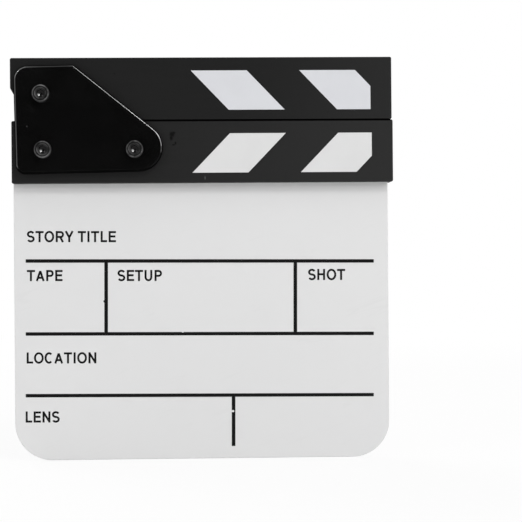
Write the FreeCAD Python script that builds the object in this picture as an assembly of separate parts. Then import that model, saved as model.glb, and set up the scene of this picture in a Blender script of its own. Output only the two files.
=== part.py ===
"""A small clapperboard: a white writing board in a slotted stick, with a second stick hinged above it.

Millimetres. X runs to the right as seen from the front, Y runs from front to back, and Z runs up.
The origin is the middle of the board's bottom edge.
"""

import FreeCAD
import Part

import math
import os

from FreeCAD import Vector

# Writing board, a flat acrylic sheet whose top runs up into the lower stick. Its width is a stick's length less
# an inset at each side, and the fixing screws pass through it below its top edge
board_inset = 1.05
board_open_height = 112.3
board_thickness = 3.0
board_corner_radius = 15.0
board_edge_round = 0.3
tongue_corner_radius = 1.0
fixing_below_tongue = 5.5

# The two sticks. The upper one sits a little to the right of the board's middle, and the lower one further
stick_length = 154.6
stick_height = 25.32
stick_thickness = 12.0
stick_corner_radius = 0.7
stick_edge_round = 0.35
stick_gap = 0.15
upper_stick_shift = 0.37
lower_stick_shift = 0.77
slot_roof = 6.07
slot_side_play = 0.05
slot_end_play = 0.3

# Hinge: the pivot is placed from the upper stick's left end and from its underside, and that height is also
# the radius of the stick's heel. The heel's flat lies level when the stick is open, and is cut a little deeper
# than the heel's round. The two fixings are placed from the lower stick's left end
pivot_from_end = 12.72
pivot_height = 10.53
opening_angle = 60.0
heel_flat_relief = 0.78
heel_corner_radius = 2.0
fixing_from_end = 13.0
fixing_spacing = 36.8

# Hinge plates, with margins beyond the three screws, and turned a little about the left fixing
plate_thickness = 3.0
plate_left_margin = 11.2
plate_foot_margin = 9.7
plate_top_margin = 11.4
plate_nose_margin = 11.35
plate_top_length = 24.3
plate_nose_radius = 9.8
plate_top_corner_radius = 5.6
plate_foot_corner_radius = 4.0
plate_tip_radius = 1.2
plate_edge_round = 1.0
plate_lean_angle = 1.1

# Screws with a hexagon socket
screw_diameter = 4.0
screw_hole_play = 0.15
head_diameter = 7.0
head_height = 2.8
head_rim_chamfer = 0.45
socket_width = 3.0
socket_depth = 1.8
socket_mouth_diameter = 4.7
socket_mouth_depth = 0.4
socket_point_diameter = 2.8
socket_point_depth = 0.8
tip_length = 1.0
tip_chamfer = 0.5

# Lock nuts, each with a collar that holds a nylon ring
nut_width = 7.0
nut_height = 3.4
nut_corner_chamfer = 0.35
thread_play = 0.05
collar_diameter = 6.2
collar_height = 1.6
collar_wall = 0.5
ring_recess = 0.2
ring_play = 0.02

# Washers between the plates and the sticks
spacer_thickness = 0.5
washer_diameter = 9.0
washer_bore_play = 0.1
washer_running_play = 0.05

# Bush pressed into the upper stick
bush_wall = 1.0
bush_running_play = 0.05
bush_press_play = 0.02

# Disc magnets in the faces where the sticks meet
magnet_diameter = 6.0
magnet_height = 3.0
magnet_from_end = 17.0
magnet_recess = 0.15
magnet_edge_chamfer = 0.25
magnet_pocket_play = 0.05

# Stripes of thin film on the front of each stick, placed from the free end and the underside
stripe_film = 0.15
stripe_width = 22.7
stripe_foot_margin = 4.01
stripe_top_margin = 5.36
stripe_slant_angle = 43.8
stripe_pitch = 44.0
stripe_end_margin = 8.65
end_stripe_reach = 29.95

# How far each cutting tool runs past the face that it cuts, and the distance under which two places are one
cut_overrun = 1.0
same_place = 1.0e-5

# Directions
BACKWARD = Vector(0, 1, 0)
UPWARD = Vector(0, 0, 1)
CENTRE = Vector(0, 0, 0)

# Sizes that follow from the sticks
board_width = stick_length - 2 * board_inset
slot_depth = stick_height - slot_roof
tongue_depth = slot_depth - slot_end_play
stripe_height = stick_height - stripe_foot_margin - stripe_top_margin

# Heights and ends that several pieces share
lower_stick_floor = board_open_height
lower_stick_top = lower_stick_floor + stick_height
upper_stick_floor = lower_stick_top + stick_gap
upper_stick_top = upper_stick_floor + stick_height
upper_stick_left = upper_stick_shift - stick_length / 2
upper_stick_right = upper_stick_shift + stick_length / 2
lower_stick_left = lower_stick_shift - stick_length / 2
lower_stick_right = lower_stick_shift + stick_length / 2

# Hinge axes, as places in the front view
pivot_x = upper_stick_left + pivot_from_end
pivot_z = upper_stick_floor + pivot_height
left_fixing_x = lower_stick_left + fixing_from_end
right_fixing_x = left_fixing_x + fixing_spacing
fixing_z = lower_stick_floor + tongue_depth - fixing_below_tongue
magnet_x = lower_stick_right - magnet_from_end

# Depths from the middle of the board, the same to the front and to the back
stick_face = stick_thickness / 2
plate_inner_face = stick_face + spacer_thickness
plate_outer_face = plate_inner_face + plate_thickness
nut_outer_face = plate_outer_face + nut_height
collar_outer_face = nut_outer_face + collar_height
screw_tip = collar_outer_face + tip_length

# Bores
screw_hole_diameter = screw_diameter + 2 * screw_hole_play
bush_bore = screw_diameter + 2 * bush_running_play
bush_diameter = bush_bore + 2 * bush_wall
bush_hole_diameter = bush_diameter + 2 * bush_press_play
thread_diameter = screw_diameter + 2 * thread_play
collar_bore = collar_diameter - 2 * collar_wall


def rounded_outline(corners):
    """A closed outline in the front view, from corners that each give x, z and the radius of their round."""
    rounds = []
    for index, (x, z, radius) in enumerate(corners):
        before = corners[index - 1]
        after = corners[(index + 1) % len(corners)]
        corner = Vector(x, 0, z)
        toward_before = (Vector(before[0], 0, before[1]) - corner).normalize()
        toward_after = (Vector(after[0], 0, after[1]) - corner).normalize()
        half_angle = toward_before.getAngle(toward_after) / 2
        inward = (toward_before + toward_after).normalize()
        set_back = radius / math.tan(half_angle)
        middle = corner + inward * (radius / math.sin(half_angle) - radius)
        rounds.append((corner + toward_before * set_back, middle, corner + toward_after * set_back))
    edges = []
    for index, (start, middle, end) in enumerate(rounds):
        next_start = rounds[(index + 1) % len(rounds)][0]
        edges.append(Part.Arc(start, middle, end).toShape())
        edges.append(Part.LineSegment(end, next_start).toShape())
    return Part.Wire(edges)


def slab(outline, front, thickness):
    """A flat piece with the outline's shape, from the depth of its front face backwards."""
    face = Part.Face(outline)
    face.translate(BACKWARD * front)
    return face.extrude(BACKWARD * thickness)


def soften(solid, radius):
    """Rounds the edges all round a slab's front and back faces."""
    rims = [edge for edge in solid.Edges if edge.BoundBox.YLength < same_place]
    return solid.makeFillet(radius, rims)


def rod(x, z, front, back, diameter):
    """A cylinder from front to back."""
    return Part.makeCylinder(diameter / 2, back - front, Vector(x, front, z), BACKWARD)


def drill(solid, x, z, diameter):
    """Cuts a hole through a piece from front to back."""
    box = solid.BoundBox
    return solid.cut(rod(x, z, box.YMin - cut_overrun, box.YMax + cut_overrun, diameter))


def turned(profile):
    """A solid turned about the Y axis, from points that each give a radius and a depth."""
    points = [Vector(radius, depth, 0) for radius, depth in profile]
    return Part.Face(Part.makePolygon(points + points[:1])).revolve(CENTRE, BACKWARD, 360)


def hexagon_bar(width, front, back):
    """A hexagonal bar along the Y axis, with its width across the flats."""
    corner_radius = width / 2 / math.cos(math.radians(30))
    points = []
    for corner in range(7):
        angle = math.radians(60 * corner)
        points.append(Vector(corner_radius * math.sin(angle), 0, corner_radius * math.cos(angle)))
    return slab(Part.makePolygon(points), front, back - front)


def washer(x, z, front, back):
    """A flat ring that the screw passes through."""
    bore = screw_diameter + 2 * washer_bore_play
    return drill(rod(x, z, front, back, washer_diameter), x, z, bore)


def make_writing_board():
    """The sheet, with clearance holes in its tongue for the two fixing screws."""
    left = -board_width / 2
    right = board_width / 2
    top = board_open_height + tongue_depth
    corners = [
        (left, 0, board_corner_radius),
        (right, 0, board_corner_radius),
        (right, top, tongue_corner_radius),
        (left, top, tongue_corner_radius),
    ]
    board = soften(slab(rounded_outline(corners), -board_thickness / 2, board_thickness), board_edge_round)
    for x in (left_fixing_x, right_fixing_x):
        board = drill(board, x, fixing_z, screw_hole_diameter)
    return board


def magnet_pocket(floor, mouth):
    """The tool that cuts a magnet's pocket, running past the stick's face at its mouth."""
    low = min(floor, mouth)
    high = max(floor, mouth)
    radius = magnet_diameter / 2 + magnet_pocket_play
    return Part.makeCylinder(radius, high - low, Vector(magnet_x, 0, low), UPWARD)


def make_lower_stick():
    """The fixed bar: a slot along its underside for the board, two screw holes and a magnet pocket."""
    corners = [
        (lower_stick_left, lower_stick_floor, stick_corner_radius),
        (lower_stick_right, lower_stick_floor, stick_corner_radius),
        (lower_stick_right, lower_stick_top, stick_corner_radius),
        (lower_stick_left, lower_stick_top, stick_corner_radius),
    ]
    stick = soften(slab(rounded_outline(corners), -stick_face, stick_thickness), stick_edge_round)
    slot_half_width = board_thickness / 2 + slot_side_play
    slot = Part.makeBox(
        stick_length + 2 * cut_overrun,
        2 * slot_half_width,
        slot_depth + cut_overrun,
        Vector(lower_stick_left - cut_overrun, -slot_half_width, lower_stick_floor - cut_overrun),
    )
    stick = stick.cut(slot)
    for x in (left_fixing_x, right_fixing_x):
        stick = drill(stick, x, fixing_z, screw_hole_diameter)
    pocket_floor = lower_stick_top - magnet_recess - magnet_height
    return stick.cut(magnet_pocket(pocket_floor, lower_stick_top + cut_overrun))


def make_upper_stick():
    """The swinging bar, with a round heel below the pivot and a flat that lies level when the bar is open."""
    turn = math.radians(opening_angle)
    flat_distance = pivot_height - heel_flat_relief
    heel_x = pivot_x + (pivot_height * math.cos(turn) - flat_distance) / math.sin(turn)
    flat_top = pivot_z + (pivot_from_end * math.sin(turn) - flat_distance) / math.cos(turn)
    corners = [
        (heel_x, upper_stick_floor, pivot_height),
        (upper_stick_right, upper_stick_floor, stick_corner_radius),
        (upper_stick_right, upper_stick_top, stick_corner_radius),
        (upper_stick_left, upper_stick_top, stick_corner_radius),
        (upper_stick_left, flat_top, heel_corner_radius),
    ]
    stick = soften(slab(rounded_outline(corners), -stick_face, stick_thickness), stick_edge_round)
    stick = drill(stick, pivot_x, pivot_z, bush_hole_diameter)
    pocket_ceiling = upper_stick_floor + magnet_recess + magnet_height
    return stick.cut(magnet_pocket(pocket_ceiling, upper_stick_floor - cut_overrun))


def make_hinge_plate(front):
    """One of the two plates that hold the pivot, with a sloping edge that runs into a round nose."""
    left = left_fixing_x - plate_left_margin
    foot = fixing_z - plate_foot_margin
    top = pivot_z + plate_top_margin
    tip = left + plate_top_length
    to_nose = right_fixing_x + plate_nose_margin - plate_nose_radius - tip
    down_to_nose = top - foot - plate_nose_radius
    slope = math.atan2(down_to_nose, to_nose)
    slope = slope - math.asin(plate_nose_radius / math.hypot(to_nose, down_to_nose))
    corners = [
        (left, foot, plate_foot_corner_radius),
        (tip + (top - foot) / math.tan(slope), foot, plate_nose_radius),
        (tip, top, plate_tip_radius),
        (left, top, plate_top_corner_radius),
    ]
    plate = soften(slab(rounded_outline(corners), front, plate_thickness), plate_edge_round)
    plate.rotate(Vector(left_fixing_x, 0, fixing_z), BACKWARD, -plate_lean_angle)
    plate = drill(plate, pivot_x, pivot_z, screw_hole_diameter)
    for x in (left_fixing_x, right_fixing_x):
        plate = drill(plate, x, fixing_z, screw_hole_diameter)
    return plate


def make_screw(x, z):
    """A screw with its head on the front plate and its tip just past the lock nut."""
    seat = -plate_outer_face
    head_front = seat - head_height
    head_radius = head_diameter / 2
    shank_radius = screw_diameter / 2
    screw = turned([
        (0, head_front),
        (head_radius - head_rim_chamfer, head_front),
        (head_radius, head_front + head_rim_chamfer),
        (head_radius, seat),
        (shank_radius, seat),
        (shank_radius, screw_tip - tip_chamfer),
        (shank_radius - tip_chamfer, screw_tip),
        (0, screw_tip),
    ])
    socket_floor = head_front + socket_depth
    socket = hexagon_bar(socket_width, head_front - cut_overrun, socket_floor)
    drill_point = turned([
        (0, socket_floor),
        (socket_point_diameter / 2, socket_floor),
        (0, socket_floor + socket_point_depth),
    ])
    mouth = turned([
        (0, head_front),
        (socket_mouth_diameter / 2, head_front),
        (socket_width / 2, head_front + socket_mouth_depth),
        (0, head_front + socket_mouth_depth),
    ])
    screw = screw.cut(socket).cut(drill_point).cut(mouth)
    screw.translate(Vector(x, 0, z))
    return screw


def make_lock_nut(x, z):
    """A hexagon nut on the back plate, with a thin collar round its outer end."""
    corner_radius = nut_width / 2 / math.cos(math.radians(30))
    blank = turned([
        (0, plate_outer_face),
        (corner_radius, plate_outer_face),
        (corner_radius, nut_outer_face - nut_corner_chamfer),
        (nut_width / 2, nut_outer_face),
        (0, nut_outer_face),
    ])
    nut = hexagon_bar(nut_width, plate_outer_face, nut_outer_face).common(blank)
    nut = nut.fuse(rod(0, 0, nut_outer_face, collar_outer_face, collar_diameter)).removeSplitter()
    nut = nut.cut(rod(0, 0, nut_outer_face, collar_outer_face + cut_overrun, collar_bore))
    nut = drill(nut, 0, 0, thread_diameter)
    nut.translate(Vector(x, 0, z))
    return nut


def make_lock_ring(x, z):
    """The nylon ring inside a lock nut's collar."""
    diameter = collar_bore - 2 * ring_play
    return drill(rod(x, z, nut_outer_face, collar_outer_face - ring_recess, diameter), x, z, thread_diameter)


def make_pivot_bush():
    """The sleeve in the upper stick that turns on the pivot screw."""
    return drill(rod(pivot_x, pivot_z, -stick_face, stick_face, bush_diameter), pivot_x, pivot_z, bush_bore)


def make_magnet(floor):
    """A disc magnet with chamfered rims, from its lower face up."""
    disc = Part.makeCylinder(magnet_diameter / 2, magnet_height, Vector(magnet_x, 0, floor), UPWARD)
    rims = [edge for edge in disc.Edges if edge.BoundBox.ZLength < same_place]
    return disc.makeChamfer(magnet_edge_chamfer, rims)


def make_stripe(reach, stick_right, stick_floor, lean):
    """A slanted stripe of film, cut off square near the stick's free end.

    The reach is from the free end to the stripe's left edge at half its height. The lean is 1 for a
    stripe that goes up to the right, and -1 for one that goes down.
    """
    bottom = stick_floor + stripe_foot_margin
    top = bottom + stripe_height
    left = stick_right - reach
    half_run = lean * stripe_height / 2 * math.tan(math.radians(stripe_slant_angle))
    points = [
        Vector(left - half_run, 0, bottom),
        Vector(left - half_run + stripe_width, 0, bottom),
        Vector(left + half_run + stripe_width, 0, top),
        Vector(left + half_run, 0, top),
    ]
    stripe = slab(Part.makePolygon(points + points[:1]), -stick_face - stripe_film, stripe_film)
    box = stripe.BoundBox
    kept = Part.makeBox(
        stick_right - stripe_end_margin - box.XMin + cut_overrun,
        stripe_film + 2 * cut_overrun,
        stripe_height + 2 * cut_overrun,
        Vector(box.XMin - cut_overrun, box.YMin - cut_overrun, bottom - cut_overrun),
    )
    return stripe.common(kept)


def make_parts():
    """Every piece of the clapperboard by its name, with repeated small pieces as groups."""
    front_pivot_front = -plate_inner_face
    front_pivot_back = -stick_face - washer_running_play
    inner_stripe_reach = end_stripe_reach + stripe_pitch
    fixings = (left_fixing_x, right_fixing_x)
    ring_places = ((pivot_x, pivot_z), (left_fixing_x, fixing_z), (right_fixing_x, fixing_z))
    return {
        "writing_board": make_writing_board(),
        "lower_stick": make_lower_stick(),
        "upper_stick": make_upper_stick(),
        "front_hinge_plate": make_hinge_plate(-plate_outer_face),
        "rear_hinge_plate": make_hinge_plate(plate_inner_face),
        "pivot_screw": make_screw(pivot_x, pivot_z),
        "left_fixing_screw": make_screw(left_fixing_x, fixing_z),
        "right_fixing_screw": make_screw(right_fixing_x, fixing_z),
        "pivot_lock_nut": make_lock_nut(pivot_x, pivot_z),
        "left_lock_nut": make_lock_nut(left_fixing_x, fixing_z),
        "right_lock_nut": make_lock_nut(right_fixing_x, fixing_z),
        "lock_nut_rings": Part.makeCompound([make_lock_ring(x, z) for x, z in ring_places]),
        "pivot_bush": make_pivot_bush(),
        "front_pivot_washer": washer(pivot_x, pivot_z, front_pivot_front, front_pivot_back),
        "rear_pivot_washer": washer(pivot_x, pivot_z, -front_pivot_back, -front_pivot_front),
        "front_spacer_washers": Part.makeCompound(
            [washer(x, fixing_z, -plate_inner_face, -stick_face) for x in fixings]
        ),
        "rear_spacer_washers": Part.makeCompound(
            [washer(x, fixing_z, stick_face, plate_inner_face) for x in fixings]
        ),
        "upper_magnet": make_magnet(upper_stick_floor + magnet_recess),
        "lower_magnet": make_magnet(lower_stick_top - magnet_recess - magnet_height),
        "upper_inner_stripe": make_stripe(inner_stripe_reach, upper_stick_right, upper_stick_floor, -1),
        "upper_end_stripe": make_stripe(end_stripe_reach, upper_stick_right, upper_stick_floor, -1),
        "lower_inner_stripe": make_stripe(inner_stripe_reach, lower_stick_right, lower_stick_floor, 1),
        "lower_end_stripe": make_stripe(end_stripe_reach, lower_stick_right, lower_stick_floor, 1),
    }


def main():
    os.makedirs("parts", exist_ok=True)
    for name, shape in make_parts().items():
        shape.exportStep("parts/" + name + ".step")
        print(name, "solids", len(shape.Solids), "valid", shape.isValid(), "mm3", round(shape.Volume, 1))


main()
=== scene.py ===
# %% [markdown]
# # A small clapperboard
# A film slate has a white board to write on and two striped sticks that clap together. The solid pieces come
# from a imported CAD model, which is loaded here as a fixed frame. This lesson gives every piece its finish,
# prints the form on the board, and sets up a plain studio round it. Blender counts in metres, so a length in
# millimetres is written as a number times MM.

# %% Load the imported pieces
import math
import bmesh
import bpy
from mathutils import Matrix, Vector


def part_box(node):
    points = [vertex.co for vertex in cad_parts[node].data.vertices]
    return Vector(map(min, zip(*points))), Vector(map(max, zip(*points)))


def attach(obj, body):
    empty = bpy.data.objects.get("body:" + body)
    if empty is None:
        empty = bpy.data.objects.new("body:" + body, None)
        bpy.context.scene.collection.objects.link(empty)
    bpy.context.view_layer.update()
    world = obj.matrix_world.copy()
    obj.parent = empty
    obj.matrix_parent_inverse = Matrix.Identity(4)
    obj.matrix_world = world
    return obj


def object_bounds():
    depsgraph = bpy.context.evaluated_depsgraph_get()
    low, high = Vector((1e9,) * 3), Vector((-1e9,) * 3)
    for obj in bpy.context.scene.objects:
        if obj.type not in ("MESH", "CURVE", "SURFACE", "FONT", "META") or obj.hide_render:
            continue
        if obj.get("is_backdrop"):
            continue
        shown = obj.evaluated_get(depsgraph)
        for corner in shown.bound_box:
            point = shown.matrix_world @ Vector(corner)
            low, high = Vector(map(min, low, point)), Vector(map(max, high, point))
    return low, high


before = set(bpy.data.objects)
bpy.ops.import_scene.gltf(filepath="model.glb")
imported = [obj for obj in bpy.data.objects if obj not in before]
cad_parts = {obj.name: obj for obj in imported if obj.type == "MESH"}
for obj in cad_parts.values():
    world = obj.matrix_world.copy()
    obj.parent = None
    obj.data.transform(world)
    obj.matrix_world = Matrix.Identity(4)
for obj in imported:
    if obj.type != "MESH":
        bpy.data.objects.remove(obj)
cad_low, cad_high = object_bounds()
scene = bpy.context.scene
scene.view_settings.view_transform = "Standard"
MM = 0.001
print("pieces:", len(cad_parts), "size in mm:", [round(side / MM, 1) for side in cad_high - cad_low])

# %% [markdown]
# ## The camera
# A flat board is best seen straight on, through a long lens that bends its edges very little. The camera
# stands in front of the board's middle and looks a little to the right, so the board sits left of the
# picture's middle. A shifted lens could do the same, but the shift would stay when the camera looks from
# another side. The camera is also tipped by a fraction of a degree, as hand-held cameras are.

# %% Place the camera
looked_at = Vector((24.2, 0, 80.33)) * MM
camera_distance = 700 * MM
camera_turn = math.radians(-2.1)
camera_tip = math.radians(-0.44)
picture_width = 213.7 * MM
sensor_width = 36
nearest_seen = 50 * MM

lens = bpy.data.cameras.new("front camera")
lens.sensor_width = sensor_width
lens.lens = sensor_width * camera_distance / picture_width
lens.clip_start = nearest_seen
camera = bpy.data.objects.new("front camera", lens)
aim = Matrix.Rotation(camera_turn, 4, "Z") @ Matrix.Rotation(math.pi / 2, 4, "X")
camera.matrix_world = (
    Matrix.Translation(looked_at)
    @ aim
    @ Matrix.Translation((0, 0, camera_distance))
    @ Matrix.Rotation(camera_tip, 4, "Z")
)
scene.collection.objects.link(camera)
scene.camera = camera
camera_place = [round(part / MM, 1) for part in camera.matrix_world.translation]
print("camera at", camera_place, "lens", round(lens.lens, 1))

# %% [markdown]
# ## Building node trees
# Every finish below is a tree of nodes. A tree can be wired by hand in the shader editor, but in a script it
# reads best when one short line adds a node and fills its sockets. A value that is itself a socket is linked,
# and any other value is typed in.

# %% A helper that adds one node
def put(tree, kind, values, **settings):
    """Adds a node, sets its options, and fills or links its inputs by name or number."""
    node = tree.nodes.new(kind)
    for option, choice in settings.items():
        setattr(node, option, choice)
    for socket, value in values.items():
        if isinstance(value, bpy.types.NodeSocket):
            tree.links.new(value, node.inputs[socket])
        else:
            node.inputs[socket].default_value = value
    return node


print("helper ready: put")


# %% Helpers for sums and ramps
def combine(tree, operation, first, second):
    """The output of a Math node with two inputs."""
    return put(tree, "ShaderNodeMath", {0: first, 1: second}, operation=operation).outputs[0]


def times(tree, first, second):
    """The product of two values, as of a mask and its strength."""
    return combine(tree, "MULTIPLY", first, second)


def larger(tree, first, second):
    """The larger of two values, which joins two masks."""
    return combine(tree, "MAXIMUM", first, second)


def ramp(tree, value, low, high, to_low=0.0, to_high=1.0):
    """A smooth step of a value from one range to another."""
    values = {"Value": value, "From Min": low, "From Max": high, "To Min": to_low, "To Max": to_high}
    return put(tree, "ShaderNodeMapRange", values, interpolation_type="SMOOTHSTEP").outputs[0]


print("helpers ready: combine, times, larger, ramp")

# %% [markdown]
# ## The room
# The slate is shown against white. The world is white where the camera looks at it, and also behind the slate
# where a shiny edge mirrors it. The light that falls on the slate comes from a dimmer dome, so white paint
# isn't bleached. The dome is dark round the place where a photographer stands, which is what keeps a glossy
# black plate black from the front. A picture of a studio could light the slate as well, but with a few nodes
# each level is one number that can be tried out.

# %% A white backdrop over a soft dome
dome_level = 0.6
dark_level = 0.02
dark_edge = (-0.98, -0.85)
backdrop_edge = (0.0, 0.3)
pure_white = (1, 1, 1, 1)


def axes_of(tree, vector):
    """The X, Y and Z of a vector, as outputs."""
    return put(tree, "ShaderNodeSeparateXYZ", {0: vector}).outputs


world = bpy.data.worlds.new("studio")
world.use_nodes = True
scene.world = world
tree = world.node_tree
tree.nodes.clear()
direction = put(tree, "ShaderNodeTexCoord", {}).outputs["Generated"]
forward = axes_of(tree, direction)["Y"]
dome = ramp(tree, forward, *dark_edge, dark_level, dome_level)
backdrop = ramp(tree, forward, *backdrop_edge)
ray = put(tree, "ShaderNodeLightPath", {}).outputs
mirrored = larger(tree, ray["Is Glossy Ray"], ray["Is Transmission Ray"])
shown = larger(tree, ray["Is Camera Ray"], times(tree, mirrored, backdrop))
# A Mix node has sockets for every kind of data, and its sockets 2 and 3 take plain numbers.
level = put(tree, "ShaderNodeMix", {"Factor": shown, 2: dome, 3: 1.0}).outputs[0]
sky = put(tree, "ShaderNodeBackground", {"Color": pure_white, "Strength": level})
put(tree, "ShaderNodeOutputWorld", {"Surface": sky.outputs[0]})
print("dome level:", dome_level)

# %% [markdown]
# ## The floor
# The floor is a pale sheet under the board's bottom edge. Seen by the camera it glows a little, which lifts it
# to white, and the rest of its brightness is paint that takes the slate's shadow. Studios hang a curved paper
# to hide where floor and wall meet. Here the glow takes over far from the slate, so a flat disc runs into the
# backdrop with no line between them, from every side.

# %% Lay the floor
floor_reach = 6.0
floor_sides = 96
floor_drop = 0.2 * MM

mesh = bpy.data.meshes.new("floor")
sheet = bmesh.new()
bmesh.ops.create_circle(sheet, cap_ends=True, segments=floor_sides, radius=floor_reach)
bmesh.ops.translate(sheet, verts=sheet.verts, vec=(0, 0, -floor_drop))
sheet.to_mesh(mesh)
sheet.free()
floor = bpy.data.objects.new("floor", mesh)
scene.collection.objects.link(floor)
floor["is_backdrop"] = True
print("floor reach in m:", floor_reach)

# %% Paint the floor
paint_tones = (0.84, 0.88)
speckle_scale = 900.0
near_glow = 0.86
glow_edge = (0.25, 1.2)


def soft_noise(tree, vector, scale, detail):
    """A noise with about so many waves to each unit of its vector, and so many finer layers."""
    values = {"Vector": vector, "Scale": scale, "Detail": detail}
    return put(tree, "ShaderNodeTexNoise", values).outputs[0]


def length_of(tree, vector):
    """How long a vector is."""
    return put(tree, "ShaderNodeVectorMath", {0: vector}, operation="LENGTH").outputs["Value"]


paint = bpy.data.materials.new("pale floor")
paint.use_nodes = True
tree = paint.node_tree
tree.nodes.clear()
place = put(tree, "ShaderNodeTexCoord", {}).outputs["Object"]
tone = ramp(tree, soft_noise(tree, place, speckle_scale, 2.0), 0.3, 0.7, *paint_tones)
plain = put(tree, "ShaderNodeBsdfDiffuse", {"Color": tone}).outputs[0]
glow = put(tree, "ShaderNodeEmission", {"Color": pure_white, "Strength": 1.0}).outputs[0]
far = ramp(tree, length_of(tree, place), *glow_edge)
share = ramp(tree, far, 0.0, 1.0, near_glow, 1.0)
lifted = put(tree, "ShaderNodeMixShader", {0: share, 1: plain, 2: glow}).outputs[0]
ray = put(tree, "ShaderNodeLightPath", {}).outputs
mirrored = larger(tree, ray["Is Glossy Ray"], ray["Is Transmission Ray"])
shown = larger(tree, ray["Is Camera Ray"], mirrored)
surface = put(tree, "ShaderNodeMixShader", {0: shown, 1: plain, 2: lifted}).outputs[0]
put(tree, "ShaderNodeOutputMaterial", {"Surface": surface})
floor.data.materials.append(paint)
print("the floor is all glow from", glow_edge[1], "m on")

# %% [markdown]
# ## The lamps
# Softboxes are large square lamps that give wide, soft highlights. A strong one stands on the right in front,
# a weak one on the left opens the shadows, one hangs above, and one stands behind for anyone who walks round
# the slate. They could light the slate alone, but a rounded rim mirrors a large lamp as a wide pale band. So
# two small lamps draw the fine lights: the spot makes the line along the hinge plate's sloping edge, and the
# glint lights the plate's other rims and the bottom of the screws' sockets.

# %% Hang the softboxes
slate_middle = Vector((0, 0, 80)) * MM


def softbox(name, place, size, watts):
    """A square lamp that faces the middle of the slate and isn't seen by the camera."""
    lamp = bpy.data.lights.new(name, "AREA")
    lamp.size = size
    lamp.energy = watts
    toward = slate_middle - Vector(place)
    holder = bpy.data.objects.new(name, lamp)
    holder.location = place
    holder.rotation_euler = toward.to_track_quat("-Z", "Y").to_euler()
    holder.visible_camera = False
    scene.collection.objects.link(holder)
    print(name, "is", round(toward.length, 2), "m away")


softbox("key", place=(1.1, -1.1, 0.75), size=1.0, watts=8.5)
softbox("spot", place=(0.54, -1.095, 1.127), size=0.25, watts=3.0)
softbox("glint", place=(-0.92, -1.07, 1.01), size=0.12, watts=1.2)
softbox("fill", place=(-1.3, -0.9, 0.4), size=1.2, watts=0.9)
softbox("top", place=(0.0, -0.3, 1.7), size=1.2, watts=4)
softbox("back", place=(-0.8, 1.3, 0.9), size=1.2, watts=11)

# %% [markdown]
# ## Effects that several finishes share
# Grain, smudges, dust, hairline scratches and rubbed edges turn up on many pieces, only at other sizes. Each
# one is made once as a node group with named inputs, and every finish places it with its own values. All of
# them work on a piece's own coordinates in metres, so that they stay put when the stick swings. Pictures could
# hold such marks too, but noise needs no unwrapping and stays sharp at any distance.

# %% A helper that starts a node group
origin = (0.0, 0.0, 0.0)


def new_group(name, inputs, output):
    """A group with the given inputs, each with its default, and one output; gives its tree and its ends."""
    group = bpy.data.node_groups.new(name, "ShaderNodeTree")
    for title, default in inputs.items():
        kind = "NodeSocketFloat" if isinstance(default, float) else "NodeSocketVector"
        socket = group.interface.new_socket(title, in_out="INPUT", socket_type=kind)
        socket.default_value = default
    group.interface.new_socket(output, in_out="OUTPUT", socket_type="NodeSocketFloat")
    given = group.nodes.new("NodeGroupInput").outputs
    result = group.nodes.new("NodeGroupOutput").inputs
    return group, given, result


print("groups so far:", len(bpy.data.node_groups))


# %% Fine grain
def vectors(tree, operation, first, second):
    """The vector that a Vector Math node makes of two."""
    return put(tree, "ShaderNodeVectorMath", {0: first, 1: second}, operation=operation).outputs[0]


grain_inputs = {"Vector": origin, "Stretch": (1.0, 1.0, 1.0)}
fine_grain, given, result = new_group("Fine grain", grain_inputs, "Grain")
stretched = vectors(fine_grain, "MULTIPLY", given["Vector"], given["Stretch"])
fine_grain.links.new(soft_noise(fine_grain, stretched, 1.0, 3.0), result["Grain"])
print(fine_grain.name, len(fine_grain.nodes), "nodes")

# %% Smudges
cloud_edge = (0.35, 0.7)

smudges, given, result = new_group("Smudges", {"Vector": origin, "Size": 0.02}, "Mask")
scale = combine(smudges, "DIVIDE", 1.0, given["Size"])
clouds = soft_noise(smudges, given["Vector"], scale, 4.0)
smudges.links.new(ramp(smudges, clouds, *cloud_edge), result["Mask"])
print(smudges.name, len(smudges.nodes), "nodes")

# %% Dust
speck_edge = (1.0, 0.4)

dust_inputs = {"Vector": origin, "Spacing": 0.004, "Speck": 0.0002, "Share": 0.5}
dust, given, result = new_group("Dust", dust_inputs, "Mask")
scale = combine(dust, "DIVIDE", 1.0, given["Spacing"])
cells = put(dust, "ShaderNodeTexVoronoi", {"Vector": given["Vector"], "Scale": scale}).outputs
chance = put(dust, "ShaderNodeSeparateColor", {"Color": cells["Color"]}).outputs["Red"]
chosen = combine(dust, "LESS_THAN", chance, given["Share"])
speck = times(dust, given["Speck"], scale)
spot = ramp(dust, combine(dust, "DIVIDE", cells["Distance"], speck), *speck_edge)
dust.links.new(times(dust, spot, chosen), result["Mask"])
print(dust.name, len(dust.nodes), "nodes")

# %% [markdown]
# A hairline is far longer than it is wide. A noise that is drawn out in one direction passes through its middle
# value along long thin curves, so a narrow ramp about that value draws scratches. A second noise keeps them in
# patches, because cloths and fingers never rub evenly.

# %% Hairlines
middle_value = 0.5
line_edge = (0.012, 0.004)
patch_scale = 60.0
patch_edge = (0.5, 0.62)


def absolute(tree, value):
    """A value without its sign."""
    return put(tree, "ShaderNodeMath", {0: value}, operation="ABSOLUTE").outputs[0]


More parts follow.
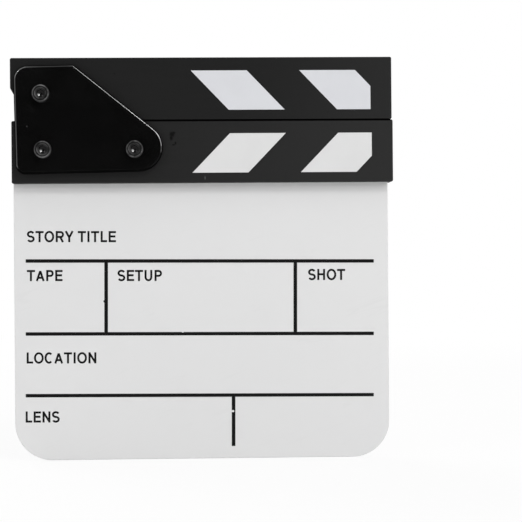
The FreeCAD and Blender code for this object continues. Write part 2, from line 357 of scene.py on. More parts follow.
hairline_inputs = {"Vector": origin, "Turn": 0.5, "Spacing": 0.004, "Length": 0.06}
hairlines, given, result = new_group("Hairlines", hairline_inputs, "Mask")
turn = {"Vector": given["Vector"], "Axis": (0, 1, 0), "Angle": given["Turn"]}
turned = put(hairlines, "ShaderNodeVectorRotate", turn).outputs[0]
along = combine(hairlines, "DIVIDE", 1.0, given["Length"])
across = combine(hairlines, "DIVIDE", 1.0, given["Spacing"])
stretch = put(hairlines, "ShaderNodeCombineXYZ", {"X": along, "Y": along, "Z": across}).outputs[0]
drawn_out = soft_noise(hairlines, vectors(hairlines, "MULTIPLY", turned, stretch), 1.0, 1.0)
from_middle = absolute(hairlines, combine(hairlines, "SUBTRACT", drawn_out, middle_value))
line = ramp(hairlines, from_middle, *line_edge)
patches = soft_noise(hairlines, given["Vector"], patch_scale, 2.0)
hairlines.links.new(times(hairlines, line, ramp(hairlines, patches, *patch_edge)), result["Mask"])
print(hairlines.name, len(hairlines.nodes), "nodes")

# %% [markdown]
# Most pieces are flat slabs with rounded rims between their faces and their sides. The rims lie in a known
# band of depth, counted from the middle of the board to the front and to the back. So a band of depth finds the
# rims of a slab, and with them the places where hands rub its finish.

# %% A band of depth
band_inputs = {"Vector": origin, "Near": 0.005, "Far": 0.006, "Soft": 0.08 * MM}
depth_band, given, result = new_group("Depth band", band_inputs, "Mask")
depth = absolute(depth_band, axes_of(depth_band, given["Vector"])["Y"])
before_near = combine(depth_band, "SUBTRACT", given["Near"], given["Soft"])
before_far = combine(depth_band, "SUBTRACT", given["Far"], given["Soft"])
rise = ramp(depth_band, depth, before_near, given["Near"])
fall = ramp(depth_band, depth, given["Far"], before_far)
depth_band.links.new(times(depth_band, rise, fall), result["Mask"])
print(depth_band.name, len(depth_band.nodes), "nodes")

# %% [markdown]
# ## Starting a finish
# Each finish is one material with a Principled shader. Values that are the same all over go straight onto the
# shader, and the effects above feed its colour, its roughness and its bumps.

# %% Helpers that start a finish
def start_finish(name, **shader_values):
    """A material with a shader whose plain values are set; gives the material, its tree, shader and place."""
    finish = bpy.data.materials.new(name)
    finish.use_nodes = True
    tree = finish.node_tree
    shader = tree.nodes["Principled BSDF"]
    for title, value in shader_values.items():
        shader.inputs[title.replace("_", " ")].default_value = value
    place = put(tree, "ShaderNodeTexCoord", {}).outputs["Object"]
    return finish, tree, shader, place


def effect(tree, group, **values):
    """Places a shared effect in a finish and gives its output."""
    return put(tree, "ShaderNodeGroup", values, node_tree=group).outputs[0]


print("effects to choose from:", ", ".join(group.name for group in bpy.data.node_groups))


# %% Helpers that feed the shader
def blend(tree, mask, below, above):
    """A colour that goes from one to another with a mask; a single number is a grey."""
    colours = []
    for value in (below, above):
        if isinstance(value, float):
            value = (value, value, value)
        if isinstance(value, tuple):
            value = (*value, 1.0)
        colours.append(value)
    # The sockets 6 and 7 of a Mix node take colours, and its output 2 gives one.
    return put(tree, "ShaderNodeMix", {0: mask, 6: colours[0], 7: colours[1]}, data_type="RGBA").outputs[2]


def roughen(tree, shader, low, high, mask):
    """Lets the shader's roughness go from low to high with a mask."""
    tree.links.new(ramp(tree, mask, 0.0, 1.0, low, high), shader.inputs["Roughness"])


def emboss(tree, shader, height, depth):
    """Feeds the shader's normal with bumps of about that depth."""
    bump = put(tree, "ShaderNodeBump", {"Height": height, "Distance": depth, "Strength": 1.0})
    tree.links.new(bump.outputs[0], shader.inputs["Normal"])


def dress(finish, *names):
    """Gives the finish to CAD pieces by name."""
    for name in names:
        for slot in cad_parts[name].material_slots:
            slot.material = finish
    print(finish.name, "on", ", ".join(names))


print("helpers ready: blend, roughen, emboss, dress")

# %% [markdown]
# ## The white board
# The writing board is satin white acrylic. New acrylic is very even, but a board that has been wiped often
# shows faint clouds and hairlines when light glances over it. Its rounded rim is painted a little greyer, as
# painted shade where the rim turns away from the light. One plain white would look like paper. The clouds
# change the colour by about one part in a hundred, so that they are felt rather than seen.

# %% Satin white acrylic
board_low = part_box("writing_board")[0]
board_depth = -board_low.y
board_rim = {"Near": board_depth - 0.3 * MM, "Far": board_depth - 0.005 * MM}
clean_white = 0.752
cloudy_white = (0.742, 0.742, 0.744)
wiped_white = 0.70
rim_shade_white = 0.66

finish, tree, shader, place = start_finish("satin white acrylic")
clouds = effect(tree, smudges, Vector=place, Size=0.045)
grain = effect(tree, fine_grain, Vector=place, Stretch=(1800.0, 1800.0, 1800.0))
wiping = effect(tree, hairlines, Vector=place, Turn=0.35, Spacing=0.005, Length=0.09)
rim = effect(tree, depth_band, Vector=place, **board_rim)
white = blend(tree, clouds, clean_white, cloudy_white)
white = blend(tree, times(tree, wiping, 0.25), white, wiped_white)
# Painted shade: the rounded rim is painted greyer where it turns away from the light.
tree.links.new(blend(tree, rim, white, rim_shade_white), shader.inputs["Base Color"])
roughen(tree, shader, 0.34, 0.46, larger(tree, clouds, rim))
emboss(tree, shader, combine(tree, "SUBTRACT", grain, times(tree, wiping, 0.6)), 0.004 * MM)
dress(finish, "writing_board")

# %% [markdown]
# ## The two sticks
# The sticks are wood under matte black lacquer. The lacquer fills the grain, and only a trace of it is left as
# long low ridges along the stick. Rims are rubbed a little lighter, and a stick that is clapped for a living
# has small dents. Dents could be cut in the mesh, but these are shallower than a sheet of paper, so they are
# soft spots placed in the stick's own coordinates.

# %% A helper that marks soft spots
spot_depth = 2 * MM


def spots_at(tree, place, face, spots):
    """A mask with soft spots on a face at that depth, from their x, z and half sizes in millimetres."""
    mask = None
    for (x, z), (half_width, half_height) in spots.items():
        middle = Vector((x * MM, face, z * MM))
        half_size = Vector((half_width * MM, spot_depth, half_height * MM))
        away = vectors(tree, "DIVIDE", vectors(tree, "SUBTRACT", place, middle), half_size)
        soft = ramp(tree, length_of(tree, away), 1.0, 0.2)
        mask = soft if mask is None else larger(tree, mask, soft)
    return mask


print("spots reach", round(spot_depth / MM, 1), "mm into a piece")

# %% [markdown]
# Lacquer reflects a little light as a clear film, so its shine is a coat over a dull black. The coat is worn
# away where the sticks clap together, and the seam between them is painted near black as painted shade, as are
# the dents. Towards the free end the black is painted slightly greyer, as painted light from the right.

# %% Black lacquered wood
lower_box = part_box("lower_stick")
upper_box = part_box("upper_stick")
stick_front = lower_box[0].y
stick_rim = {"Near": -stick_front - 0.35 * MM, "Far": -stick_front - 0.03 * MM}
free_end = 80 * MM
painted_light_lift = 0.005
seam_shade_fade = 0.15 * MM
film_weight = 0.48
dent_strength = 0.65
dent_relief = 4.0
lint_tone = 0.05
# The near black of the painted shade at the seam and in the dents.
painted_shade_tone = 0.0015
nick_tone = 0.075


def lacquer(name, low, high, painted_light_start, seam, seam_shade_reach, dents, nicks=None):
    """Black lacquer over wood between two tones, with painted light towards one end, painted shade at its seam
    and in its dents, and nicks.
    """
    plain_values = {"Specular_IOR_Level": 0.0, "Coat_IOR": 1.5, "Coat_Roughness": 0.42}
    finish, tree, shader, place = start_finish(name, **plain_values)
    axes = axes_of(tree, place)
    ridges = effect(tree, fine_grain, Vector=place, Stretch=(45.0, 700.0, 700.0))
    pores = effect(tree, fine_grain, Vector=place, Stretch=(900.0, 2600.0, 2600.0))
    handling = effect(tree, smudges, Vector=place, Size=0.03)
    rim = effect(tree, depth_band, Vector=place, **stick_rim)
    lint = effect(tree, dust, Vector=place, Spacing=0.007, Speck=0.16 * MM, Share=0.25)
    hollow = times(tree, spots_at(tree, place, stick_front, dents), dent_strength)
    # The seam is painted near black as painted shade, and the lacquer's coat is worn off along it.
    from_seam = absolute(tree, combine(tree, "SUBTRACT", axes["Z"], seam))
    seam_wear_and_shade = ramp(tree, from_seam, seam_shade_reach, seam_shade_reach - seam_shade_fade)
    worn = larger(tree, seam_wear_and_shade, hollow)

    black = blend(tree, ridges, low, high)
    # Painted light: the black grows lighter towards the free end, as if lit from the right.
    black = blend(tree, ramp(tree, axes["X"], painted_light_start, free_end), black, high + painted_light_lift)
    black = blend(tree, times(tree, rim, handling), black, 2 * high)
    black = blend(tree, times(tree, lint, 0.5), black, lint_tone)
    # Painted shade: the seam and the dents are painted near black.
    black = blend(tree, worn, black, painted_shade_tone)
    if nicks:
        black = blend(tree, spots_at(tree, place, stick_front, nicks), black, nick_tone)
    tree.links.new(black, shader.inputs["Base Color"])

    thin = larger(tree, worn, times(tree, pores, 0.2))
    tree.links.new(ramp(tree, thin, 0.0, 1.0, film_weight, 0.0), shader.inputs["Coat Weight"])
    roughen(tree, shader, 0.5, 0.7, pores)
    relief = combine(tree, "ADD", times(tree, ridges, 0.5), times(tree, pores, 0.35))
    relief = combine(tree, "SUBTRACT", relief, times(tree, hollow, dent_relief))
    emboss(tree, shader, relief, 0.012 * MM)
    return finish


print("the sticks are", round(-2 * stick_front / MM, 1), "mm thick")

# %% Lacquer the sticks
upper_dents = {(-34.8, 156.6): (0.5, 0.4)}
lower_dents = {
    (-11.7, 131.9): (1.75, 1.9),
    (-11.05, 132.5): (1.2, 0.9),
    (-12.03, 130.5): (1.1, 1.8),
    (-10.3, 128.35): (0.6, 1.1),
    (-11.1, 127.7): (1.0, 0.5),
}
lower_nicks = {(1.55, 114.2): (0.35, 1.1)}

upper_lacquer = lacquer(
    "black lacquered wood",
    low=0.0052,
    high=0.0072,
    painted_light_start=10 * MM,
    seam=upper_box[0].z,
    seam_shade_reach=0.3 * MM,
    dents=upper_dents,
)
dress(upper_lacquer, "upper_stick")
# The lower stick gets a lighter copy of the same lacquer as painted light, and its painted light starts further
# left.
lower_lacquer = lacquer(
    "lighter black lacquered wood",
    low=0.0083,
    high=0.0112,
    painted_light_start=-25 * MM,
    seam=lower_box[1].z,
    seam_shade_reach=0.55 * MM,
    dents=lower_dents,
    nicks=lower_nicks,
)
dress(lower_lacquer, "lower_stick")

# %% [markdown]
# ## The hinge plates
# The plates are gloss black acrylic, cut from sheet and rounded at the rims. From the front they mirror the
# dark part of the room, so what shows is the light line along the rim, a little dust and the finest scratches.
# The sloping edge and the bend into the nose were polished until they look wet, the left and upper rims were
# only buffed, and the underside was left sawn and dull. A thin pale tube could stand for the line of light, but
# it would shine from every side. So all of the shine is a coat: strong on the inner part of the polished rim,
# weak on the faces, and gone on sawn edges.

# %% Where the rim is polished
plate_low, plate_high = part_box("front_hinge_plate")
slope_normal = Vector((0.621, 0, 0.784))
slope_reach = 93.4 * MM
slope_polish = (0.28, 0.55)
bend_gain = 1.75
nose_share = 0.45


def polish_of(tree, place):
    """The polish of the sloping edge: most at the bend, less round the nose, and nothing below it."""
    across = axes_of(tree, place)["X"]
    slope = ramp(tree, across, plate_high.x - 18 * MM, plate_high.x - 9 * MM, *slope_polish)
    bend = ramp(tree, across, plate_high.x - 5 * MM, plate_high.x - 3 * MM, 1.0, bend_gain)
    toward = put(tree, "ShaderNodeVectorMath", {0: place, 1: slope_normal}, operation="DOT_PRODUCT")
    toward = toward.outputs["Value"]
    nose = ramp(tree, toward, slope_reach - 2.2 * MM, slope_reach - 1.1 * MM, nose_share, 1.0)
    end = ramp(tree, toward, slope_reach - 6.5 * MM, slope_reach - 5 * MM)
    return times(tree, times(tree, slope, bend), times(tree, nose, end))


print("the slope runs", round(slope_reach / MM, 1), "mm from the origin")

# %% Where the rim is buffed
top_corner = (plate_low.x / MM + 1.8, plate_high.z / MM - 2.2)
left_buff = (0.45, 0.2)
right_share = 0.15


def buff_of(tree, place):
    """The buffing of the other rims: most on the left, bright at the top corner, and nothing at the foot."""
    axes = axes_of(tree, place)
    left = ramp(tree, axes["X"], plate_low.x + 3 * MM, plate_low.x + 12 * MM, *left_buff)
    right = ramp(tree, axes["X"], plate_high.x - 24 * MM, plate_high.x - 12 * MM, 1.0, right_share)
    foot = ramp(tree, axes["Z"], plate_low.z + 2.0 * MM, plate_low.z + 3.4 * MM)
    buffed = times(tree, times(tree, left, right), foot)
    return larger(tree, buffed, spots_at(tree, place, plate_low.y, {top_corner: (6, 6)}))


print("the top corner's light is at", [round(part, 1) for part in top_corner])

# %% Gloss black acrylic
plate_side = {"Near": -plate_high.y + 0.1 * MM, "Far": -plate_low.y - 0.0002 * MM, "Soft": 0.002 * MM}
plate_rim = {"Near": -plate_low.y - 0.18 * MM, "Far": -plate_low.y - 0.012 * MM, "Soft": 0.01 * MM}
face_weight = 0.19
film_tones = (0.0024, 0.0036)
scratch_tone = 0.012
speck_tone = 0.04
grit_place = (-69.9, 135.1)

finish, tree, shader, place = start_finish(
    "gloss black acrylic", Specular_IOR_Level=0.0, Coat_IOR=2.8, Coat_Roughness=0.06
)
film = effect(tree, smudges, Vector=place, Size=0.018)
specks = effect(tree, dust, Vector=place, Spacing=0.005, Speck=0.14 * MM, Share=0.3)
rubs = effect(tree, hairlines, Vector=place, Turn=-0.6, Spacing=0.0035, Length=0.03)
grit = spots_at(tree, place, plate_low.y, {grit_place: (0.45, 0.45)})
black = blend(tree, film, *film_tones)
black = blend(tree, times(tree, rubs, 0.35), black, scratch_tone)
black = blend(tree, larger(tree, times(tree, specks, 0.6), grit), black, speck_tone)
tree.links.new(black, shader.inputs["Base Color"])
side = effect(tree, depth_band, Vector=place, **plate_side)
rim = effect(tree, depth_band, Vector=place, **plate_rim)
rim_shine = times(tree, rim, larger(tree, polish_of(tree, place), buff_of(tree, place)))
face_shine = ramp(tree, larger(tree, side, specks), 0.0, 1.0, face_weight, 0.0)
tree.links.new(larger(tree, rim_shine, face_shine), shader.inputs["Coat Weight"])
roughen(tree, shader, 0.3, 0.5, film)
emboss(tree, shader, combine(tree, "SUBTRACT", specks, times(tree, rubs, 0.4)), 0.006 * MM)
dress(finish, "front_hinge_plate", "rear_hinge_plate")

# %% [markdown]
# ## The screws
# The screws are blackened steel. The dark oxide is thin, so it is rubbed off first along the rim of the head
# and the mouth of the socket, and those rings shine in broken arcs. The side of each head is knurled for the
# fingers, and behind the nuts the threads show as fine rings. Both could be cut in the mesh, but they are so
# fine that bumps show them as well. A sine of the angle about the screw's axis gives the knurl, and a sine of
# the depth gives the thread, so each screw gets a finish that knows its own axis.

# %% Waves round a screw and along it
thread_pitch = 0.7 * MM
knurl_teeth = 36


def wave_of(tree, value, pace):
    """A sine of a value, with so many radians of phase for each unit."""
    return put(tree, "ShaderNodeMath", {0: times(tree, value, pace)}, operation="SINE").outputs[0]


def about_axis(tree, place, axis):
    """The angle round an axis that runs from front to back, and the distance from it."""
    away = vectors(tree, "SUBTRACT", place, axis)
    away = vectors(tree, "MULTIPLY", away, (1, 0, 1))
    sides = axes_of(tree, away)
    return combine(tree, "ARCTAN2", sides["Z"], sides["X"]), length_of(tree, away)


print("thread pitch in mm:", round(thread_pitch / MM, 2), "knurl teeth:", knurl_teeth)

# %% Rings round a screw, in millimetres
soft_edge = 0.08
knurl_ring = (3.4, 3.6)
chamfer_ring = (2.95, 3.3)
mouth_ring = (2.2, 2.36)
socket_ring = (1.5, 2.3)
point_reach = 1.38


def within(tree, radius, reach):
    """A mask that is one up to a distance, with a soft edge."""
    return ramp(tree, radius, (reach + soft_edge) * MM, reach * MM)


def between(tree, radius, low, high):
    """A mask that is one between two distances, with soft edges."""
    return times(tree, ramp(tree, radius, (low - soft_edge) * MM, low * MM), within(tree, radius, high))


print("the socket's mouth is worn", round(mouth_ring[1] - mouth_ring[0], 2), "mm wide")

# %% Blackened steel
bump_unit = 0.006 * MM
thread_bumps = 12.0
knurl_bumps = 14.0
blunt_slope = 0.15
oxide_tones = (0.02, 0.036)
mouth_tone = 0.1
chamfer_tones = (0.05, 0.2)
# The socket floor is painted darker than the oxide as painted shade, and brighter at one spot as a painted
# highlight.
floor_shade_and_glint_tones = (0.016, 0.12)


def blacken(name):
    """Blackened steel on one screw, with a knurled head, a threaded shank and a drill point in its socket."""
    low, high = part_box(name)
    middle = (low + high) / 2
    finish, tree, shader, place = start_finish("blackened steel " + name, Metallic=1.0)
    oxide = effect(tree, smudges, Vector=place, Size=0.0022)
    turning = effect(tree, fine_grain, Vector=place, Stretch=(2500.0, 900.0, 2500.0))
    depth = axes_of(tree, place)["Y"]
    angle, radius = about_axis(tree, place, middle)

    head = ramp(tree, depth, plate_low.y + 0.2 * MM, plate_low.y + 0.1 * MM)
    crown = ramp(tree, depth, low.y + 0.5 * MM, low.y + 0.4 * MM)
    below_socket = ramp(tree, depth, low.y + 1.7 * MM, low.y + 1.8 * MM)
    head_side = effect(
        tree, depth_band, Vector=place, Near=-plate_low.y + 0.1 * MM, Far=-low.y - 0.45 * MM
    )
    chamfer = times(tree, crown, between(tree, radius, *chamfer_ring))
    mouth = between(tree, radius, *mouth_ring)
    point = times(tree, times(tree, below_socket, within(tree, radius, point_reach)), head)
    # Painted highlight: a brighter patch of steel on the socket floor, where the glint lamp is mirrored.
    glint_spot_place = (middle.x / MM - 0.75, middle.z / MM - 0.58)
    painted_glint = spots_at(tree, place, low.y + 2.1 * MM, {glint_spot_place: (0.78, 0.78)})

    steel = blend(tree, oxide, *oxide_tones)
    steel = blend(tree, times(tree, mouth, oxide), steel, mouth_tone)
    steel = blend(tree, chamfer, steel, blend(tree, oxide, *chamfer_tones))
    steel = blend(tree, point, steel, blend(tree, painted_glint, *floor_shade_and_glint_tones))
    tree.links.new(steel, shader.inputs["Base Color"])
    dull = larger(tree, turning, between(tree, radius, *socket_ring))
    roughen(tree, shader, 0.2, 0.5, combine(tree, "SUBTRACT", dull, point))

    grip = times(tree, head_side, between(tree, radius, *knurl_ring))
    teeth = times(tree, wave_of(tree, angle, knurl_teeth), grip)
    shank = combine(tree, "SUBTRACT", 1.0, head)
    threads = times(tree, wave_of(tree, depth, 2 * math.pi / thread_pitch), shank)
    relief = combine(tree, "ADD", times(tree, threads, thread_bumps), times(tree, teeth, knurl_bumps))
    blunt = times(tree, times(tree, point, radius), blunt_slope / bump_unit)
    relief = combine(tree, "SUBTRACT", combine(tree, "ADD", relief, turning), blunt)
    emboss(tree, shader, relief, bump_unit)
    dress(finish, name)


for name in ("pivot_screw", "left_fixing_screw", "right_fixing_screw"):
    blacken(name)

# %% [markdown]
# ## The nuts and their rings
# The lock nuts are bright zinc-plated steel, which is patchy and slightly blue. A ring of pale nylon in each
# collar grips the thread. Plating could be one smooth metal, but only its patches tell it from chrome, so two
# close colours are mixed by smudges about half as wide as a flat of the nut.

# %% Zinc plate
finish, tree, shader, place = start_finish("zinc plate", Metallic=1.0)
patches = effect(tree, smudges, Vector=place, Size=0.0018)
turning = effect(tree, fine_grain, Vector=place, Stretch=(3000.0, 1200.0, 3000.0))
zinc = blend(tree, patches, (0.53, 0.54, 0.56), (0.62, 0.62, 0.61))
tree.links.new(zinc, shader.inputs["Base Color"])
roughen(tree, shader, 0.24, 0.4, times(tree, patches, turning))
emboss(tree, shader, turning, 0.006 * MM)
dress(finish, "pivot_lock_nut", "left_lock_nut", "right_lock_nut")

# %% Pale nylon
finish, tree, shader, place = start_finish("pale nylon")
grain = effect(tree, fine_grain, Vector=place, Stretch=(2200.0, 2200.0, 2200.0))
nylon = blend(tree, grain, (0.77, 0.76, 0.72), (0.70, 0.69, 0.64))
tree.links.new(nylon, shader.inputs["Base Color"])
roughen(tree, shader, 0.38, 0.52, grain)
emboss(tree, shader, grain, 0.006 * MM)
dress(finish, "lock_nut_rings")

# %% [markdown]
# ## What sits between the plates and inside the sticks
# Thin black nylon washers keep the plates off the sticks, a brass bush turns on the pivot screw, and a
# nickel-plated magnet in each stick holds them shut. Little of this is seen until the stick swings open, so
# each finish is short: one noise for how the piece was made, and on metal another for how it has aged.

# %% Black nylon
finish, tree, shader, place = start_finish("black nylon")
grain = effect(tree, fine_grain, Vector=place, Stretch=(1600.0, 1600.0, 1600.0))
nylon = blend(tree, grain, 0.016, (0.026, 0.026, 0.027))
tree.links.new(nylon, shader.inputs["Base Color"])
roughen(tree, shader, 0.45, 0.6, grain)
emboss(tree, shader, grain, 0.008 * MM)
dress(finish, "front_pivot_washer", "rear_pivot_washer", "front_spacer_washers", "rear_spacer_washers")

# %% Turned brass
finish, tree, shader, place = start_finish("turned brass", Metallic=1.0)
turning = effect(tree, fine_grain, Vector=place, Stretch=(500.0, 5000.0, 500.0))
tarnish = effect(tree, smudges, Vector=place, Size=0.003)
brass = blend(tree, tarnish, (0.72, 0.53, 0.22), (0.52, 0.36, 0.14))
tree.links.new(brass, shader.inputs["Base Color"])
roughen(tree, shader, 0.22, 0.4, turning)
emboss(tree, shader, turning, 0.004 * MM)
dress(finish, "pivot_bush")

# %% Nickel plate
finish, tree, shader, place = start_finish("nickel plate", Metallic=1.0)
marks = effect(tree, hairlines, Vector=place, Turn=0.9, Spacing=0.0008, Length=0.004)
haze = effect(tree, smudges, Vector=place, Size=0.002)
nickel = blend(tree, haze, (0.72, 0.70, 0.66), (0.62, 0.60, 0.56))
tree.links.new(nickel, shader.inputs["Base Color"])
roughen(tree, shader, 0.12, 0.3, larger(tree, haze, marks))
emboss(tree, shader, marks, 0.003 * MM)
dress(finish, "upper_magnet", "lower_magnet")

# %% [markdown]
# ## The stripes
# The stripes are cut from white self-adhesive film with a fine pebbled face. They could be painted in the
# lacquer's own material, but film has a thickness and a gloss of its own, so each stripe is a thin solid with
# its own finish. The pair on the upper stick is a touch bluer than the pair below, as it would be if it came
# from another roll.

# %% Pale film
films = {
    "cool pale film": ((0.672, 0.68, 0.708), (0.655, 0.662, 0.69)),
    "plain pale film": (0.71, 0.69),
}
stripes = {
    "cool pale film": ("upper_inner_stripe", "upper_end_stripe"),
    "plain pale film": ("lower_inner_stripe", "lower_end_stripe"),
}
for film_name, (fresh, dulled) in films.items():
    finish, tree, shader, place = start_finish(film_name)
    pebbles = effect(tree, fine_grain, Vector=place, Stretch=(2400.0, 2400.0, 2400.0))
    wear = effect(tree, smudges, Vector=place, Size=0.012)
    tree.links.new(blend(tree, wear, fresh, dulled), shader.inputs["Base Color"])
    roughen(tree, shader, 0.42, 0.55, pebbles)
    emboss(tree, shader, pebbles, 0.008 * MM)
    dress(finish, *stripes[film_name])

# %% [markdown]
# ## The printed form
# Lines and words are screen-printed on the board in black ink. Ink could be painted in the board's material,
# but as a thin film of its own it keeps crisp edges at any distance. The ink is a few hundredths of a
# millimetre thick and dips slightly into the board, so no gap shows behind it. Here and there a chip shows the
# white below.

# %% Black ink
chips = {(12.2, 19.15): (0.75, 0.6), (70.0, 26.3): (0.5, 0.3), (-8.0, 51.6): (0.6, 0.25)}
chip_edge = (0.1, 0.4)
chip_tone = 0.74
ink_tones = (0.002, 0.005)

ink, tree, shader, place = start_finish("black ink", Specular_IOR_Level=0.12)
cover = effect(tree, fine_grain, Vector=place, Stretch=(1500.0, 1500.0, 1500.0))
chipped = ramp(tree, spots_at(tree, place, board_low.y, chips), *chip_edge)
black = blend(tree, cover, *ink_tones)
tree.links.new(blend(tree, chipped, black, chip_tone), shader.inputs["Base Color"])
roughen(tree, shader, 0.42, 0.55, cover)
emboss(tree, shader, cover, 0.004 * MM)
print(ink.name, "with", len(chips), "chips")

# %% [markdown]
# Printed sheets are rarely square to their edges. This print is turned by less than half a degree against the
# board, so the lines and the words are laid out level and then turned together about one point.

# %% The turn of the print
print_middle = Vector((0, 0, 53)) * MM
print_turn = math.radians(0.42)
print_place = (
    Matrix.Translation(print_middle) @ Matrix.Rotation(print_turn, 4, "Y") @ Matrix.Translation(-print_middle)
)
print("print turned by degrees:", round(math.degrees(print_turn), 2))

# %% A helper that keeps a finished printed piece
ink_front = board_low.y - 0.03 * MM
ink_back = board_low.y + 0.01 * MM
ink_depth = ink_back - ink_front
ink_middle = (ink_front + ink_back) / 2


def keep_print(name, shape):
    """Turns a bmesh with the print, makes an inked object of it, and lets it ride on the slate."""
    bmesh.ops.transform(shape, matrix=print_place, verts=shape.verts)
    mesh = bpy.data.meshes.new(name)
    shape.to_mesh(mesh)
    shape.free()
    mesh.materials.append(ink)
    piece = bpy.data.objects.new(name, mesh)
    scene.collection.objects.link(piece)
    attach(piece, "slate")
    print(name, len(mesh.polygons), "faces")


print("ink lies from", round(ink_front / MM, 3), "to", round(ink_back / MM, 3), "mm")

# %% [markdown]
# The lines are thin bars with their corners just broken, as ink spreads a little on a smooth board. Three run
# across and three run down, and the ones that run down stop at the lines they meet. On the left one the screen
# let a drop of ink through, which stands a little higher than the line.

# %% Lay out the lines, in millimetres
half_row = 0.7
half_column = 0.74
rows = [80.53, 50.87, 25.78]
row_left, row_right = -71.78, 70.16
upper_columns = [-39.15, 37.98]
lower_column, lower_column_foot = 12.72, 4.98

bars = [(row_left, row_right, row - half_row, row + half_row) for row in rows]
for column in upper_columns:
    bars.append((column - half_column, column + half_column, rows[1] + half_row, rows[0] - half_row))
lower_left, lower_right = lower_column - half_column, lower_column + half_column
bars.append((lower_left, lower_right, lower_column_foot, rows[2] - half_row))
print(len(bars), "lines")

# %% Print the lines
corner_break = 0.15 * MM
drop_radius = 0.6 * MM
drop_front = ink_front - 0.01 * MM
drop_middle = Vector((-39.65 * MM, (drop_front + ink_back) / 2, 64.1 * MM))

lines = bmesh.new()
for left, right, bottom, top in bars:
    size = Vector(((right - left) * MM, ink_depth, (top - bottom) * MM))
    middle = Vector(((right + left) / 2 * MM, ink_middle, (top + bottom) / 2 * MM))
    bar = bmesh.ops.create_cube(lines, size=1)["verts"]
    bmesh.ops.scale(lines, verts=bar, vec=size)
    bmesh.ops.translate(lines, verts=bar, vec=middle)
corners = [edge for edge in lines.edges if abs(edge.verts[0].co.y - edge.verts[1].co.y) > ink_depth / 2]
bmesh.ops.bevel(
    lines,
    geom=corners,
    offset=corner_break,
    segments=2,
    profile=0.5,
    affect="EDGES",
    material=-1,
    clamp_overlap=True,
)
bmesh.ops.create_cone(
    lines,
    cap_ends=True,
    segments=16,
    radius1=drop_radius,
    radius2=drop_radius,
    depth=ink_back - drop_front,
    matrix=Matrix.Translation(drop_middle) @ Matrix.Rotation(math.pi / 2, 4, "X"),
)
keep_print("form_rules", lines)

# %% [markdown]
# The words name the fields of the form. A text object could set them in a font, but then they would carry the
# font's look. These are drawn as a draughtsman draws letters, with a nib that makes every stroke equally wide.
# A letter is a few strokes in a frame one capital high, and its round strokes are parts of ellipses that reach
# a little past the frame, since round letters look too small otherwise.

# %% A nib for letters
capital_height = 4.52 * MM
nib = 0.186
half_nib = nib / 2
overshoot = 0.02
arc_step = 15
letter_widths = {
    "A": 0.8, "C": 0.8, "E": 0.66, "H": 0.71, "I": nib, "L": 0.58, "N": 0.71,
    "O": 0.88, "P": 0.67, "R": 0.74, "S": 0.7, "T": 0.73, "U": 0.7, "Y": 0.8,
}


def arc(x, y, reach_x, reach_y, start, stop):
    """Points along part of an ellipse, from its middle, its reaches and two angles in degrees."""
    steps = round(abs(stop - start) / arc_step)
    angles = [math.radians(start + (stop - start) * step / steps) for step in range(steps + 1)]
    return [(x + reach_x * math.cos(angle), y + reach_y * math.sin(angle)) for angle in angles]


print("the nib is", round(nib * capital_height / MM, 2), "mm wide")

# %% The strokes of each letter
high = 1 - half_nib
waist = 0.47
bar_height = 0.52
low_bar_height, low_bar_inset = 0.3, 0.2
fork_height = 0.42
trough_height = 0.36
bowl_reach = 0.2
leg_start = 0.4
short_arm = 0.05


def strokes_of(letter):
    """The nib's paths for one letter, in shares of the capital height."""
    width = letter_widths[letter]
    middle = width / 2
    right = width - half_nib
    reach = middle - half_nib
    tall = 0.5 - half_nib + overshoot
    fork = (middle, fork_height)
    stem = [(half_nib, 0), (half_nib, 1)]
    far_stem = [(right, 0), (right, 1)]
    foot = [(half_nib, half_nib), (width, half_nib)]
    bowl = arc(right - bowl_reach, (high + waist) / 2, bowl_reach, (high - waist) / 2, 90, -90)
    bowl = [(half_nib, high)] + bowl + [(half_nib, waist)]
    trough = arc(middle, trough_height, reach, trough_height - half_nib + overshoot, 180, 360)
    trough = [(half_nib, 1)] + trough + [(right, 1)]
    upper_curl = arc(middle, 0.5 + tall / 2, reach, tall / 2, 25, 270)
    lower_curl = arc(middle, 0.5 - tall / 2, reach, tall / 2, 90, -155)
    low_bar = [(low_bar_inset, low_bar_height), (width - low_bar_inset, low_bar_height)]
    shapes = {
        "A": [[(half_nib, 0), (middle, high)], [(right, 0), (middle, high)], low_bar],
        "C": [arc(middle, 0.5, reach, tall, 48, 312)],
        "E": [
            stem,
            foot,
            [(half_nib, bar_height), (width - short_arm, bar_height)],
            [(half_nib, high), (width, high)],
        ],
        "H": [stem, far_stem, [(half_nib, bar_height), (right, bar_height)]],
        "I": [stem],
        "L": [stem, foot],
        "N": [stem, far_stem, [(half_nib, high), (right, half_nib)]],
        "O": [arc(middle, 0.5, reach, tall, 0, 360)],
        "P": [stem, bowl],
        "R": [stem, bowl, [(leg_start, waist), (right, 0)]],
        "S": [upper_curl + lower_curl[1:]],
        "T": [[(0, high), (width, high)], [(middle, 0), (middle, high)]],
        "U": [trough],
        "Y": [[(middle, 0), fork], [(half_nib, 1), fork], [(right, 1), fork]],
    }
    return shapes[letter]


print("an S has", len(strokes_of("S")[0]), "points")

# %% [markdown]
# A curve with a bevel turns the strokes of a word into tubes. Pressed flat to the thickness of the ink, tubes
# are just what strokes of a nib look like. Letters stand further apart where two straight sides meet.

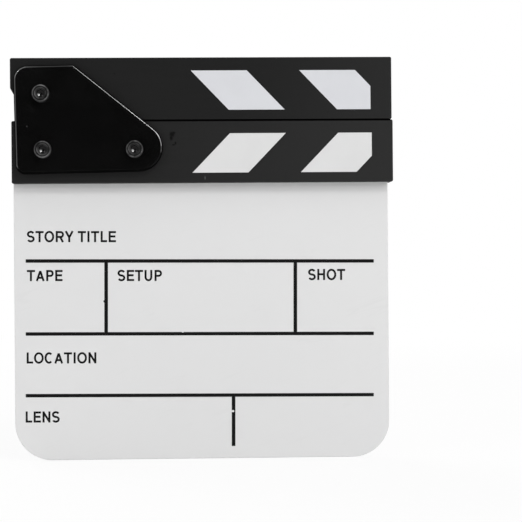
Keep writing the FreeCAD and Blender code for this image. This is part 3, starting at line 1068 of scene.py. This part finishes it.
# %% Draw a word
word_space = 0.3
straight_gap = 0.1
round_gap = 0.035
straight_on_left = "EHILNPRU"
straight_on_right = "HINU"


def draw_word(word):
    """A mesh of a word one capital high, lying flat with its baseline on the X axis."""
    strokes = bpy.data.curves.new(word, "CURVE")
    strokes.dimensions = "3D"
    strokes.twist_mode = "Z_UP"
    strokes.bevel_depth = half_nib
    strokes.bevel_resolution = 1
    strokes.use_fill_caps = True
    start = 0
    for index, letter in enumerate(word):
        if letter == " ":
            start += word_space
            continue
        if index:
            start += straight_gap if letter in straight_on_left else round_gap
        for path in strokes_of(letter):
            spline = strokes.splines.new("POLY")
            spline.points.add(len(path) - 1)
            for point, (x, y) in zip(spline.points, path):
                point.co = (start + x, y, 0, 1)
        start += letter_widths[letter] + (straight_gap if letter in straight_on_right else round_gap)
    drawn = bpy.data.objects.new(word, strokes)
    scene.collection.objects.link(drawn)
    bpy.context.view_layer.update()
    mesh = bpy.data.meshes.new_from_object(drawn.evaluated_get(bpy.context.evaluated_depsgraph_get()))
    bpy.data.objects.remove(drawn)
    return mesh


print("a space between words is", round(word_space * capital_height / MM, 2), "mm wide")

# %% Stand the words on the board
labels = {
    "STORY TITLE": (-71.28, 88.19),
    "TAPE": (-71.3, 72.36),
    "SETUP": (-34.53, 72.36),
    "SHOT": (43.2, 72.72),
    "LOCATION": (-71.38, 38.85),
    "LENS": (-71.8, 14.85),
}

lettering = bmesh.new()
for word, (left, baseline) in labels.items():
    mesh = draw_word(word)
    stand_up = (
        Matrix.Translation((left * MM, ink_middle, baseline * MM))
        @ Matrix.Rotation(math.pi / 2, 4, "X")
        @ Matrix.Diagonal((capital_height, capital_height, ink_depth / nib, 1))
    )
    mesh.transform(stand_up)
    lettering.from_mesh(mesh)
keep_print("field_labels", lettering)

# %% [markdown]
# ## Measure and finish
# The finished slate's box is measured against the CAD model's box, and how much it has grown on each side is
# printed. The finished slate may not be larger than its CAD model.

# %% Write the sizes
seen_low, seen_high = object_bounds()
growth = (seen_high - seen_low) - (cad_high - cad_low)
print("grown by mm:", [round(side / MM, 3) for side in growth])
